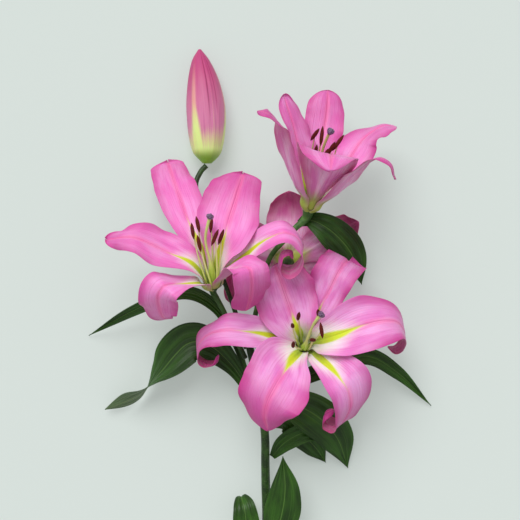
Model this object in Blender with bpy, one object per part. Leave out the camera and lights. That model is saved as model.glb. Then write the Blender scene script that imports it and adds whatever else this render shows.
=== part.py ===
"""A cut stem of pink Oriental lilies lying on its side: four flowers, one bud and nine leaves.

The stem lies along Y with its cut end towards -Y and the flowers towards +Y. All numbers are millimetres in
a layout frame whose ground is z = 0; place() moves them to the middle of the footprint and to metres.
A flower has six tepals in two whorls (three broad petals inside, three narrower sepals outside), six
stamens and one pistil. Tepals and leaves are thin solid sheets drawn along a spine.
"""
import bpy
import bmesh
import numpy as np

ORIGIN = np.array([0.0, -73.0, 0.2])      # middle of the footprint in the layout frame
TEPAL_THICKNESS = 1.0
LEAF_THICKNESS = 0.8
TEPAL_LEAN = 0.5         # how far a tepal's width turns to the axis it bends about
LEAN_LENGTH = 25.0       # a bend of this radius pulls the width direction as hard as no bend at all

# Where each flower sits (the top of its receptacle) and which way it opens.
FLOWERS = {
    "left": dict(base=(-41, -21, 56), axis=(-0.03, 0.60, 0.80)),
    "right": dict(base=(38, -76, 36), axis=(0.08, 0.28, 0.957)),
    "top": dict(base=(43, 46, 48), axis=(0.27, 0.82, 0.51)),
    "under": dict(base=(25, -2, 37), axis=(0.10, 0.06, -0.99)),
}

# Radius and height above the receptacle at the foot of a tepal and 12 mm up its throat.
FOOT = {"petal": ((6.3, 0.5), (9.0, 12.0)), "sepal": ((7.9, -1.0), (10.8, 10.5))}
CUP = {
    "petal": (1.0, 1.0, 0.75, 0.40, 0.15, 0.0, -0.15, -0.30),
    "sepal": (0.8, 0.75, 0.50, 0.20, 0.05, 0.0, -0.20, -0.40),
}

# name: flower, whorl, bearing of its foot, spine beyond the throat, half-widths from foot to tip.
TEPALS = {
    "left_petal_1": ("left", "petal", 68,
                     [(-34, 9, 67), (-30, 21, 70), (-26, 36, 66), (-21, 52, 59), (-17, 66, 51),
                      (-15, 75, 39)],
                     (5, 8, 15, 24, 27, 26, 23, 19)),
    "left_petal_2": ("left", "petal", 168,
                     [(-58, -3, 73), (-67, 2, 77), (-79, 7, 80), (-93, 14, 84), (-106, 19, 86),
                      (-119, 19, 83), (-130, 17, 74)],
                     (5, 8, 13, 18, 20, 17, 11, 6)),
    "left_petal_3": ("left", "petal", 325,
                     [(-25, -11, 83), (-17, -6, 93), (-9, -7, 101), (-7, -14, 101), (-7, -25, 92),
                      (-9, -36, 81), (-12, -43, 73)],
                     (5, 8, 12, 16, 18, 17, 17, 14)),
    "left_sepal_1": ("left", "sepal", 112,
                     [(-49, 6, 60), (-54, 18, 61), (-62, 34, 57), (-69, 53, 50), (-75, 69, 40),
                      (-79, 80, 27), (-82, 87, 13)],
                     (6, 8, 12, 15, 18, 18, 17, 16)),
    "left_sepal_2": ("left", "sepal", 15,
                     [(-22, -4, 69), (-13, 3, 72), (-3, 12, 76), (8, 19, 84), (20, 23, 88),
                      (31, 19, 84), (36, 8, 78), (33, -4, 72), (24, -10, 70), (16, -4, 74),
                      (18, 6, 79), (26, 7, 81), (28, 1, 79)],
                     (6, 8, 11, 12, 13, 13, 13, 13, 12, 10, 8)),
    "left_sepal_3": ("left", "sepal", 222,
                     [(-54, -20, 77), (-64, -20, 86), (-73, -20, 95), (-80, -22, 101),
                      (-85, -30, 98), (-85, -40, 86), (-82, -49, 74), (-75, -50, 69)],
                     (6, 8, 11, 14, 16, 17, 17, 14, 9)),
    "right_petal_1": ("right", "petal", 115,
                      [(31, -56, 56), (26, -41, 59), (21, -27, 61), (17, -15, 61), (14, -7, 57),
                       (14, -4, 52)],
                      (5, 7.5, 15, 24, 27, 26, 22, 14)),
    "right_petal_2": ("right", "petal", 12,
                      [(55, -68, 59), (70, -63, 65), (88, -56, 68), (106, -52, 66), (119, -54, 58),
                       (126, -64, 46), (126, -74, 37), (119, -79, 33), (112, -76, 36)],
                      (5, 8, 17, 23, 25, 23, 18, 12, 9, 7)),
    "right_petal_3": ("right", "petal", 240,
                      [(26, -88, 68), (19, -97, 79), (12, -108, 87), (6, -120, 88), (4, -133, 83),
                       (7, -145, 73)],
                      (5, 9, 18, 28, 31, 28, 19, 9)),
    "right_sepal_1": ("right", "sepal", 174,
                      [(21, -70, 54), (5, -64, 60), (-13, -61, 64), (-29, -60, 64), (-44, -64, 60),
                       (-53, -73, 55), (-54, -84, 50), (-47, -91, 48), (-38, -90, 50),
                       (-36, -82, 54)],
                      (6, 8, 12, 14, 15, 15, 13, 11, 9, 7)),
    "right_sepal_2": ("right", "sepal", 66,
                      [(46, -56, 50), (52, -41, 55), (60, -26, 56), (67, -12, 57), (73, -3, 51),
                       (77, 0, 42), (76, -3, 34)],
                      (6, 8, 12, 17, 19, 20, 20, 18, 10)),
    "right_sepal_3": ("right", "sepal", 316,
                      [(51, -84, 58), (60, -92, 68), (69, -102, 77), (75, -112, 76), (77, -125, 69),
                       (73, -137, 59), (66, -145, 51), (57, -142, 48), (56, -133, 52),
                       (63, -129, 57)],
                      (6, 8, 12, 18, 20, 19, 17, 14, 12, 10)),
    "top_petal_1": ("top", "petal", 150,
                    [(37, 73, 54), (33, 94, 66), (28, 115, 71), (23, 131, 73), (20, 141, 72)],
                    (5, 8, 14, 16, 16, 14, 10)),
    "top_petal_2": ("top", "petal", 24,
                    [(64, 69, 59), (76, 86, 65), (86, 101, 59), (96, 110, 56), (107, 116, 55),
                     (118, 115, 53)],
                    (5, 8, 13, 17, 20, 18, 10)),
    "top_petal_3": ("top", "petal", 268,
                    [(49, 60, 77), (54, 73, 92), (57, 82, 102), (58, 87, 113), (58, 83, 132),
                     (57, 72, 140)],
                    (5, 8, 14, 20, 23, 21, 14)),
    "top_sepal_1": ("top", "sepal", 90,
                    [(46, 71, 43), (52, 95, 48), (57, 120, 46), (59, 137, 45), (59, 148, 42)],
                    (6, 8, 12, 15, 17, 17, 14)),
    "top_sepal_2": ("top", "sepal", 208,
                    [(30, 64, 80), (24, 83, 95), (20, 99, 108), (16, 111, 123), (8, 118, 136),
                     (-2, 120, 138)],
                    (6, 8, 11, 12, 11, 8, 7)),
    "top_sepal_3": ("top", "sepal", 328,
                    [(67, 58, 75), (79, 72, 86), (88, 80, 97), (99, 85, 103), (109, 79, 104),
                     (112, 67, 101)],
                    (6, 8, 11, 12, 10, 8, 6)),
}
# Twist of a blade about its spine, in degrees from foot to tip.
ROLL = {
    "top_sepal_2": (0, 0, 8, 15, 10), "top_sepal_3": (0, 0, -8, -15, 0),
    "left_sepal_3": (0, 15, 20, 0, -40, -50, -50), "leaf_2": (0, 0, 0, 15, 60, 130, 175),
}

# The flower underneath faces the ground: bearing, and the reach of each tepal from the receptacle.
UNDER = {
    "under_sepal_1": (90, 78), "under_petal_1": (30, 64), "under_sepal_2": (330, 80),
    "under_petal_2": (270, 72), "under_sepal_3": (210, 72), "under_petal_3": (150, 78),
}
UNDER_OPENING = {"petal": (45, 38, 55, 90, 125, 165), "sepal": (50, 42, 58, 92, 130, 170)}
UNDER_WIDTHS = {"petal": (5, 9, 17, 22, 21, 17, 9), "sepal": (6, 9, 14, 16, 15, 12, 7)}

# name: spine, half-widths from base to tip.
LEAVES = {
    "leaf_1": ([(34, 32, 34), (44, 35, 37), (60, 27, 41), (76, 12, 31), (86, -5, 20), (91, -22, 9)],
               (3, 9, 14, 15, 13, 9, 4)),
    "leaf_2": ([(-7, -120, 23), (-24, -94, 26), (-44, -76, 27), (-64, -74, 27), (-88, -99, 23),
                (-107, -119, 17), (-139, -134, 7)],
               (4, 7, 13, 18, 18, 11, 13, 8)),
    "leaf_3": ([(-12.5, -98, 31), (-22, -72, 33), (-38, -42, 37), (-67, -28, 48), (-110, -44, 33),
                (-154, -68, 2.5)],
               (2.5, 3.5, 5, 6, 6, 5, 4, 2.5)),
    "leaf_4": ([(9, -134, 25), (26, -126, 36), (51, -138, 32), (69, -159, 19), (79, -187, 3)],
               (4, 12, 18, 19, 16, 11, 5)),
    "leaf_5": ([(9, -146, 20), (22, -141, 26), (35, -152, 22), (50, -168, 12), (59, -182, 3)],
               (3, 9, 12, 13, 11, 8, 4)),
    "leaf_6": ([(11, -175, 16), (22, -161, 27), (40, -152, 27), (58, -153, 16), (72, -157, 10),
                (84, -161, 8)],
               (3, 7, 9, 9, 8, 6, 3)),
    "leaf_7": ([(7, -268, 14), (18, -230, 26), (22, -202, 34), (20, -172, 36)],
               (4, 10, 14, 16, 14, 10, 4)),
    "leaf_8": ([(-1, -262, 11), (-8, -248, 17), (-12, -233, 22), (-14, -219, 22), (-17, -211, 13),
                (-16, -213, 4)],
               (3, 8, 11, 12, 10, 7, 3)),
    "leaf_9": ([(4.5, -120, 24), (44, -102, 22), (90, -85, 24), (122, -100, 16), (154, -131, 2)],
               (3, 6, 8, 8, 7, 5, 2.5)),
}

STEM = ([(9, -334, 4.4), (7, -269, 8), (5, -194, 14), (4, -151, 20), (-2, -110, 28), (-9, -76, 36)],
        (4.2, 4.1, 4.0, 3.8, 3.6, 3.4))
PEDICELS = {
    "left": [(-13, -86, 35), (-22, -66, 41), (-31, -46, 43), (-38, -33, 43)],
    "right": [(2.6, -106, 28), (15, -99, 22), (29, -86, 18.5)],
    "top": [(-9.3, -74.4, 36.3), (-3, -43, 38), (7, -2, 36), (20, 16, 41), (31, 28, 44)],
    "under": [(-2, -84, 37), (4, -60, 43), (13, -35, 45), (21, -15, 46)],
}
BUD_PEDICEL = [(-12, -78, 30.5), (-22, -45, 32), (-42, 10, 34), (-53, 45, 27), (-57, 66, 20), (-53, 78, 17.5),
               (-47.6, 84, 17.3)]
BUD = ([(-47, 86, 17.2), (-47, 98, 17.2), (-48, 125, 17.2), (-50, 151, 16), (-53, 175, 13), (-54, 188, 12)],
       (4.0, 11.5, 14.3, 15.8, 16.6, 16.9, 16.8, 16.3, 15.3, 13.9, 12.0, 9.6, 6.4, 1.2))

# Points up the style from the receptacle to the stigma.
PISTILS = {
    "left": [(-41, -14, 65), (-42, -3, 74), (-46, 16, 83), (-44, 29, 90), (-41, 39, 93)],
    "right": [(39, -75, 50), (41, -66, 67), (46, -53, 82), (53, -44, 89)],
    "top": [(46, 56, 54), (50, 74, 68), (53, 93, 82), (57, 104, 92), (60, 109, 99)],
    "under": [(26, -1, 28), (27, 0, 21), (28, 1, 14), (30, 2, 7)],
}
PISTIL_RADII = (2.4, 2.8, 2.8, 2.2, 1.3, 1.2, 1.2, 1.2, 1.4, 3.4, 2.6)

# Bearing of each filament's foot and the two ends of its anther.
STAMENS = {
    "left": [(200, (-58, 31, 79), (-56, 18, 81)), (140, (-54, 37, 82), (-51, 23, 84)),
             (260, (-53, 21, 80), (-50, 7, 79)), (80, (-41, 37, 75), (-42, 23, 78)),
             (320, (-35, 26, 84), (-41, 12, 84)), (20, (-31, 25, 79), (-35, 14, 77))],
    "right": [(120, (33, -44, 87), (32, -51, 76)), (180, (27, -54, 85), (28, -57, 74)),
              (0, (51, -53, 82), (53, -66, 79)), (60, (49, -42, 80), (50, -48, 69)),
              (300, (42, -67, 88), (47, -68, 76)), (240, (28, -69, 87), (28, -74, 76))],
    "top": [(150, (49, 109, 97), (43, 101, 90)), (90, (53, 113, 84), (51, 96, 84)),
            (300, (63, 99, 90), (57, 89, 83)), (20, (71, 106, 80), (61, 92, 84)),
            (210, (48, 97, 86), (46, 86, 78)), (260, (57, 93, 98), (52, 82, 90))],
    "under": [(20, (38, -9, 16), (37, -3, 9)), (80, (24, -15, 16), (30, -15, 9)),
              (140, (14, -7, 16), (16, -13, 9)), (200, (12, 5, 16), (13, -1, 9)),
              (260, (26, 12, 16), (20, 12, 9)), (320, (36, 4, 16), (34, 9, 9))],
}
FILAMENT_CIRCLE = 4.3
FILAMENT_RADIUS = 0.75
ANTHER_RADIUS = 1.6

# Colour (linear) and roughness of each material.
COLOURS = {
    "petal": ((0.80, 0.22, 0.55), 0.45),
    "sepal": ((0.62, 0.16, 0.42), 0.50),
    "bud": ((0.58, 0.20, 0.40), 0.50),
    "leaf": ((0.035, 0.10, 0.015), 0.40),
    "stem": ((0.05, 0.15, 0.02), 0.45),
    "pistil": ((0.25, 0.42, 0.08), 0.40),
    "filament": ((0.40, 0.55, 0.15), 0.45),
    "anther": ((0.14, 0.015, 0.02), 0.80),
}


def unit(v):
    return v / np.linalg.norm(v, axis=-1, keepdims=True)


def along(values, u):
    """Smooth values at u in 0..1 through evenly spaced ones (Catmull-Rom)."""
    p = np.asarray(values, float)
    if p.ndim == 1:
        return along(p[:, None], u)[:, 0]
    last = len(p) - 2
    p = np.vstack([2 * p[0] - p[1], p, 2 * p[-1] - p[-2]])
    t = u * (last + 1)
    i = np.minimum(t.astype(int), last)
    f = (t - i)[:, None]
    a, b, c, d = p[i], p[i + 1], p[i + 2], p[i + 3]
    return 0.5 * (2 * b + (c - a) * f + (2 * a - 5 * b + 4 * c - d) * f**2 + (3 * b - a - 3 * c + d) * f**3)


def even_path(points, count):
    """Evenly spaced points along the smooth curve through the given ones."""
    fine = along(points, np.linspace(0, 1, 240))
    reach = np.concatenate([[0], np.cumsum(np.linalg.norm(np.diff(fine, axis=0), axis=1))])
    steps = np.linspace(0, reach[-1], count)
    return np.stack([np.interp(steps, reach, fine[:, k]) for k in range(3)], axis=-1)


def carried(first, tangents):
    """The direction `first` carried along a curve without twisting about it."""
    out = []
    for tangent in tangents:
        first = unit(first - (first @ tangent) * tangent)
        out.append(first)
    return np.array(out)


def turned(v, axis, degrees):
    angle = np.radians(degrees)[:, None]
    along_axis = np.sum(axis * v, axis=-1, keepdims=True) * axis
    return v * np.cos(angle) + np.cross(axis, v) * np.sin(angle) + along_axis * (1 - np.cos(angle))


def leaned(across, path, tangent, share):
    """Turn the width direction partly towards the axis that the path bends about, as a strip would."""
    bend = np.gradient(tangent, axis=0)
    pull = np.cross(tangent, bend)
    pull *= np.sign(np.sum(pull * across, axis=1, keepdims=True))
    reach = np.linalg.norm(path[1:] - path[:-1], axis=1).mean()
    share = share * np.clip(np.linspace(-0.6, 3.0, len(path)), 0, 1)[:, None]
    mixed = across * (1 - share) + pull * share * LEAN_LENGTH / reach
    for _ in range(3):
        mixed[1:-1] = (mixed[:-2] + mixed[1:-1] + mixed[2:]) / 3
    mixed = unit(mixed)
    return unit(mixed - np.sum(mixed * tangent, axis=1, keepdims=True) * tangent)


def place(points):
    return (np.asarray(points, float) - ORIGIN) * 0.001


def material(slot):
    """The Principled material of this slot, made once."""
    if slot in bpy.data.materials:
        return bpy.data.materials[slot]
    made = bpy.data.materials.new(slot)
    made.use_nodes = True
    shader = made.node_tree.nodes["Principled BSDF"]
    colour, roughness = COLOURS[slot]
    shader.inputs["Base Color"].default_value = (*colour, 1.0)
    shader.inputs["Roughness"].default_value = roughness
    shader.inputs["Metallic"].default_value = 0.0
    return made


def add_object(name, slot, points, faces, origin):
    """A smooth-shaded mesh whose own origin is at its foot."""
    mesh = bpy.data.meshes.new(name)
    mesh.from_pydata([tuple(p) for p in place(points) - place(origin)], [], faces)
    bm = bmesh.new()
    bm.from_mesh(mesh)
    bmesh.ops.recalc_face_normals(bm, faces=bm.faces)
    bm.to_mesh(mesh)
    bm.free()
    mesh.shade_smooth()
    mesh.set_sharp_from_angle(angle=np.radians(60))
    mesh.materials.append(material(slot))
    obj = bpy.data.objects.new(name, mesh)
    obj.location = place(origin)
    bpy.context.scene.collection.objects.link(obj)
    return obj


def add_flower_empties():
    """One empty per flower at its receptacle, which its pieces hang from."""
    empties = {}
    for flower, values in FLOWERS.items():
        empty = bpy.data.objects.new(flower + "_flower", None)
        empty.location = place(values["base"])
        empty.empty_display_size = 0.01
        bpy.context.scene.collection.objects.link(empty)
        empties[flower] = empty
    return empties


def hang_pieces(empties):
    """Parent every piece of a flower to that flower's empty, without moving it."""
    for obj in list(bpy.data.objects):
        flower = obj.name.split("_")[0]
        if flower in empties and obj.type == "MESH":
            obj.parent = empties[flower]
            obj.location = obj.location - empties[flower].location


def sheet(name, slot, spine, side, widths, cup, thickness, roll=(0, 0), tip=0.16, lean=0.0, rows=14,
          columns=5):
    """A thin solid blade: `side` is its width direction at the foot, `cup` the curl across it."""
    path = even_path(spine, rows)
    tangent = unit(np.gradient(path, axis=0))
    u = np.linspace(0, 1, rows)
    across = leaned(carried(side, tangent), path, tangent, lean)
    across = turned(across, tangent, along(roll, u))
    up = np.cross(tangent, across)
    v = np.linspace(-1, 1, columns)
    half = along(widths, u) * np.sqrt(1 - np.clip((u - 1 + tip) / tip, 0, 1) ** 2)
    half = np.maximum(half, 0.8)[:, None]
    curl = along(cup, u)[:, None]
    curl = np.where(np.abs(curl) < 0.01, 0.01, curl)
    x = half * np.sin(curl * v) / curl
    z = half * (1 - np.cos(curl * v)) / curl
    middle = path[:, None] + across[:, None] * x[..., None] + up[:, None] * z[..., None]
    normal = unit(np.cross(np.gradient(middle, axis=0), np.gradient(middle, axis=1)))
    top = middle + normal * thickness / 2
    bottom = middle - normal * thickness / 2
    points = np.concatenate([top.reshape(-1, 3), bottom.reshape(-1, 3)])
    return add_object(name, slot, points, sheet_faces(rows, columns), spine[0])


def sheet_faces(rows, columns):
    size = rows * columns
    faces = []
    for i in range(rows - 1):
        for j in range(columns - 1):
            a = i * columns + j
            faces.append((a, a + 1, a + columns + 1, a + columns))
            faces.append((size + a, size + a + columns, size + a + columns + 1, size + a + 1))
    rim = list(range(columns))
    rim += [i * columns + columns - 1 for i in range(1, rows)]
    rim += [(rows - 1) * columns + j for j in range(columns - 2, -1, -1)]
    rim += [i * columns for i in range(rows - 2, 0, -1)]
    for a, b in zip(rim, rim[1:] + rim[:1]):
        faces.append((a, b, size + b, size + a))
    return faces


def tube(name, slot, spine, radii, rows=12, sides=8):
    """A closed round bar of changing radius along a smooth path."""
    path = even_path(spine, rows)
    tangent = unit(np.gradient(path, axis=0))
    side = carried(np.cross(tangent[0], (0.3, 0.1, 1.0)), tangent)
    other = np.cross(tangent, side)
    radius = along(radii, np.linspace(0, 1, rows))[:, None, None]
    angle = np.linspace(0, 2 * np.pi, sides, endpoint=False)[None, :, None]
    ring = np.cos(angle) * side[:, None] + np.sin(angle) * other[:, None]
    points = (path[:, None] + radius * ring).reshape(-1, 3)
    faces = [tuple(range(sides)), tuple(range((rows - 1) * sides, rows * sides))]
    for i in range(rows - 1):
        for j in range(sides):
            a = i * sides + j
            b = i * sides + (j + 1) % sides
            faces.append((a, b, b + sides, a + sides))
    return add_object(name, slot, points, faces, spine[0])


def flower_frame(flower):
    """Receptacle, axis, and two directions across it (bearing 0 points to +X)."""
    axis = unit(np.array(FLOWERS[flower]["axis"], float))
    east = unit(np.array([1.0, 0, 0]) - axis * axis[0])
    return np.array(FLOWERS[flower]["base"], float), axis, east, np.cross(axis, east)


def outward(flower, bearing):
    _, _, east, north = flower_frame(flower)
    angle = np.radians(bearing)
    return np.cos(angle) * east + np.sin(angle) * north


def foot_points(flower, whorl, bearing):
    base, axis, _, _ = flower_frame(flower)
    away = outward(flower, bearing)
    return [base + radius * away + height * axis for radius, height in FOOT[whorl]]


def add_tepal(name, flower, whorl, bearing, spine, widths):
    points = foot_points(flower, whorl, bearing) + [np.array(p, float) for p in spine]
    roll = ROLL.get(name, (0, 0))
    side = outward(flower, bearing + 90)
    return sheet(name, whorl, points, side, widths, CUP[whorl], TEPAL_THICKNESS, roll, lean=TEPAL_LEAN)


def add_under_tepal(name, bearing, length):
    """A tepal of the flower that faces the ground, opening by evenly spaced angles from its axis."""
    whorl = "petal" if "petal" in name else "sepal"
    base, axis, _, _ = flower_frame("under")
    away = outward("under", bearing)
    angle = np.radians(along(UNDER_OPENING[whorl], np.linspace(0, 1, 16)))[:, None]
    steps = (np.cos(angle) * axis + np.sin(angle) * away) * length / 15
    start = foot_points("under", whorl, bearing)[0]
    spine = np.vstack([start, start + np.cumsum(steps[:-1], axis=0)])
    widths = UNDER_WIDTHS[whorl]
    return sheet(name, whorl, spine, outward("under", bearing + 90), widths, CUP[whorl], TEPAL_THICKNESS)


def add_leaf(name, spine, widths):
    side = np.cross((0, 0, 1.0), np.subtract(spine[1], spine[0]))
    roll = ROLL.get(name, (0, 0))
    return sheet(name, "leaf", spine, side, widths, (0.5, 0.35, 0.3, 0.25), LEAF_THICKNESS, roll, tip=0.2)


def add_pedicel(flower):
    """A flower's own stalk, widening into the receptacle under the tepals."""
    base, axis, _, _ = flower_frame(flower)
    spine = PEDICELS[flower] + [base - 12 * axis, base - 1.9 * axis]
    tube(flower + "_pedicel", "stem", spine, (2.3, 2.2, 2.2, 2.2, 2.2, 2.2, 2.3, 2.6, 3.6, 7.2), rows=14)


def add_pistil(flower):
    base, axis, _, _ = flower_frame(flower)
    tube(flower + "_pistil", "pistil", [base - 0.8 * axis] + PISTILS[flower], PISTIL_RADII, rows=16)


def filament_path(flower, bearing, ends):
    base, axis, _, _ = flower_frame(flower)
    away = outward(flower, bearing)
    foot = base + FILAMENT_CIRCLE * away - 1.2 * axis
    throat = foot + 13 * axis + 1.7 * away
    goal = (np.array(ends[0], float) + np.array(ends[1], float)) / 2
    middle = (throat + goal) / 2 + 0.02 * np.linalg.norm(goal - throat) * away
    return [foot, throat, middle, goal]


def anther(name, ends):
    """A closed ellipsoid between its two ends."""
    first, second = (np.array(end, float) for end in ends)
    centre = (first + second) / 2
    reach = unit(second - first) * max(7.0, np.linalg.norm(second - first) / 2)
    spots = np.cos(np.radians((170, 140, 105, 75, 40, 10)))
    spine = [centre + reach * s for s in spots]
    radii = ANTHER_RADIUS * np.array((0.25, 0.75, 1.0, 1.0, 0.75, 0.25))
    return tube(name, "anther", spine, radii, rows=6, sides=6)


def fuse(body, tools):
    """Boolean union of closed solids that clearly overlap."""
    for tool in tools:
        modifier = body.modifiers.new("join", "BOOLEAN")
        modifier.operation = "UNION"
        modifier.solver = "EXACT"
        modifier.material_mode = "TRANSFER"
        modifier.object = tool
        tool.hide_render = True
        tool.display_type = "WIRE"
    return body


def add_stamen(name, flower, bearing, ends):
    path = filament_path(flower, bearing, ends)
    filament = tube(name, "filament", path, (FILAMENT_RADIUS,) * 2, rows=8, sides=6)
    fuse(filament, [anther(name + ".anther", ends)])


def add_joined_stamens(flower):
    """Six stamens that share a thin ring around the foot of the pistil."""
    base, axis, _, _ = flower_frame(flower)
    name = flower + "_stamens"
    ring = collar(name, base, axis, outward(flower, 0), (3.5, 5.2), (-1.2, 0.8))
    pieces = []
    for k, (bearing, *ends) in enumerate(STAMENS[flower]):
        path = filament_path(flower, bearing, ends)
        path[0] = path[0] + axis
        pieces.append(tube(f"{name}.{k}", "filament", path, (FILAMENT_RADIUS,) * 2, rows=8, sides=6))
        pieces.append(anther(f"{name}.anther.{k}", ends))
    fuse(ring, pieces)


def collar(name, base, axis, side, radii, heights, sides=12):
    """A flat round washer about the flower's axis."""
    other = np.cross(axis, side)
    loops = [(radii[0], heights[0]), (radii[1], heights[0]), (radii[1], heights[1]), (radii[0], heights[1])]
    points = []
    for radius, height in loops:
        for k in range(sides):
            angle = 2 * np.pi * k / sides
            points.append(base + radius * (np.cos(angle) * side + np.sin(angle) * other) + height * axis)
    faces = []
    for i in range(4):
        for j in range(sides):
            a, b = i * sides + j, i * sides + (j + 1) % sides
            c, d = ((i + 1) % 4) * sides + (j + 1) % sides, ((i + 1) % 4) * sides + j
            faces.append((a, b, c, d))
    return add_object(name, "filament", points, faces, base)


def clear_scene():
    for obj in list(bpy.data.objects):
        bpy.data.objects.remove(obj, do_unlink=True)


def build():
    empties = add_flower_empties()
    tube("stem", "stem", *STEM, rows=20, sides=10)
    for flower in FLOWERS:
        add_pedicel(flower)
        add_pistil(flower)
    tube("bud_pedicel", "stem", BUD_PEDICEL, (2.2, 2.0, 2.0, 2.2), rows=18)
    tube("bud", "bud", *BUD, rows=14, sides=12)
    for name, (flower, whorl, bearing, spine, widths) in TEPALS.items():
        add_tepal(name, flower, whorl, bearing, spine, widths)
    for name, (bearing, length) in UNDER.items():
        add_under_tepal(name, bearing, length)
    for name, (spine, widths) in LEAVES.items():
        add_leaf(name, spine, widths)
    for flower in ("left", "right"):
        for k, (bearing, *ends) in enumerate(STAMENS[flower], start=1):
            add_stamen(f"{flower}_stamen_{k}", flower, bearing, ends)
    for flower in ("top", "under"):
        add_joined_stamens(flower)
    hang_pieces(empties)


clear_scene()
build()
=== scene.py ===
"""The looks of a cut stem of pink Oriental lilies lying on its side.

Every part of the plant is drawn from the same spines as its CAD solid, with a fine grid, so that veins,
ruffled edges, keels and rolled tips show. Numbers are millimetres in a layout frame whose ground is z = 0;
place() moves them to the CAD model's frame, in metres. The stem's cut end points to -Y.
"""

import bpy
import numpy as np
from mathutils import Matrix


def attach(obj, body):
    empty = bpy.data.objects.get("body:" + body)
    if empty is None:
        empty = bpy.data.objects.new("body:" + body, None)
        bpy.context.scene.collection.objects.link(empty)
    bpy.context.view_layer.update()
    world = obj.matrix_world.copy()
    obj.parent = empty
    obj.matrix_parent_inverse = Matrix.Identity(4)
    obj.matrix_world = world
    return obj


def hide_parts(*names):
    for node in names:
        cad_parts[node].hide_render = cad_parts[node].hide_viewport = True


ORIGIN = np.array([0.0, -73.0, 0.2])  # the CAD frame's origin in the layout frame

CAMERA_HEIGHT = 1302.0  # above the layout's ground, straight above its centre
CAMERA_LENS = 100.0
CAMERA_SENSOR = 36.0
CAMERA_REACH = 20.0  # metres, far enough for the whole floor
FLOOR_HALF = 9000.0
SKY_STRENGTH = 0.50
LAMP_STRENGTH = 2.25
LAMP_SPREAD = 40  # degrees; a broad lamp with soft shadows
LAMP_TURN = (-38, -14, 0)  # degrees about X, Y and Z from shining straight down

PATH_SAMPLES = 400  # points on a spine before it is cut into even steps
CAD_ROWS = 14  # rows of the CAD model's blades, whose spines are smoothed in three passes
NARROWEST = 0.35  # half-width at the very tip of a blade
FLATTEST = 0.01  # smallest curl, in radians
TUBE_SIDE = (0.3, 0.1, 1.0)  # no tube starts along this direction

# Where each flower sits (the top of its receptacle) and which way it opens.
FLOWERS = {
    "left": dict(base=(-41, -21, 56), axis=(-0.03, 0.60, 0.80)),
    "right": dict(base=(38, -76, 36), axis=(0.08, 0.28, 0.957)),
    "top": dict(base=(43, 46, 48), axis=(0.27, 0.82, 0.51)),
    "under": dict(base=(25, -2, 37), axis=(0.10, 0.06, -0.99)),
}

# flower_whorl_number: bearing of the tepal's foot, spine beyond the throat.
TEPALS = {
    "left_petal_1": (68, [
        (-34, 9, 67), (-30, 21, 70), (-26, 36, 66), (-21, 52, 59), (-17, 66, 51), (-15, 75, 39)]),
    "left_petal_2": (168, [
        (-58, -3, 73), (-67, 2, 77), (-79, 7, 80), (-93, 14, 84), (-106, 19, 86), (-119, 19, 83),
        (-130, 17, 74)]),
    "left_petal_3": (325, [
        (-25, -11, 83), (-17, -6, 93), (-9, -7, 101), (-7, -14, 101), (-7, -25, 92), (-9, -36, 81),
        (-12, -43, 73)]),
    "left_sepal_1": (112, [
        (-49, 6, 60), (-54, 18, 61), (-62, 34, 57), (-69, 53, 50), (-75, 69, 40), (-79, 80, 27),
        (-82, 87, 13)]),
    "left_sepal_2": (15, [
        (-22, -4, 69), (-13, 3, 72), (-3, 12, 76), (8, 19, 84), (20, 23, 88), (31, 19, 84), (36, 8, 78),
        (33, -4, 72), (24, -10, 70), (16, -4, 74), (18, 6, 79), (26, 7, 81), (28, 1, 79)]),
    "left_sepal_3": (222, [
        (-54, -20, 77), (-64, -20, 86), (-73, -20, 95), (-80, -22, 101), (-85, -30, 98), (-85, -40, 86),
        (-82, -49, 74), (-75, -50, 69)]),
    "right_petal_1": (115, [
        (31, -56, 56), (26, -41, 59), (21, -27, 61), (17, -15, 61), (14, -7, 57), (14, -4, 52)]),
    "right_petal_2": (12, [
        (55, -68, 59), (70, -63, 65), (88, -56, 68), (106, -52, 66), (119, -54, 58), (126, -64, 46),
        (126, -74, 37), (119, -79, 33), (112, -76, 36)]),
    "right_petal_3": (240, [
        (26, -88, 68), (19, -97, 79), (12, -108, 87), (6, -120, 88), (4, -133, 83), (7, -145, 73)]),
    "right_sepal_1": (174, [
        (21, -70, 54), (5, -64, 60), (-13, -61, 64), (-29, -60, 64), (-44, -64, 60), (-53, -73, 55),
        (-54, -84, 50), (-47, -91, 48), (-38, -90, 50), (-36, -82, 54)]),
    "right_sepal_2": (66, [
        (46, -56, 50), (52, -41, 55), (60, -26, 56), (67, -12, 57), (73, -3, 51), (77, 0, 42),
        (76, -3, 34)]),
    "right_sepal_3": (316, [
        (51, -84, 58), (60, -92, 68), (69, -102, 77), (75, -112, 76), (77, -125, 69), (73, -137, 59),
        (66, -145, 51), (57, -142, 48), (56, -133, 52), (63, -129, 57)]),
    "top_petal_1": (150, [
        (37, 73, 54), (33, 94, 66), (28, 115, 71), (23, 131, 73), (20, 141, 72)]),
    "top_petal_2": (24, [
        (64, 69, 59), (76, 86, 65), (86, 101, 59), (96, 110, 56), (107, 116, 55), (118, 115, 53)]),
    "top_petal_3": (268, [
        (49, 60, 77), (54, 73, 92), (57, 82, 102), (58, 87, 113), (58, 83, 132), (57, 72, 140)]),
    "top_sepal_1": (90, [
        (46, 71, 43), (52, 95, 48), (57, 120, 46), (59, 137, 45), (59, 148, 42)]),
    "top_sepal_2": (208, [
        (30, 64, 80), (24, 83, 95), (20, 99, 108), (16, 111, 123), (8, 118, 136), (-2, 120, 138)]),
    "top_sepal_3": (328, [
        (67, 58, 75), (79, 72, 86), (88, 80, 97), (99, 85, 103), (109, 79, 104), (112, 67, 101)]),
}

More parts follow.
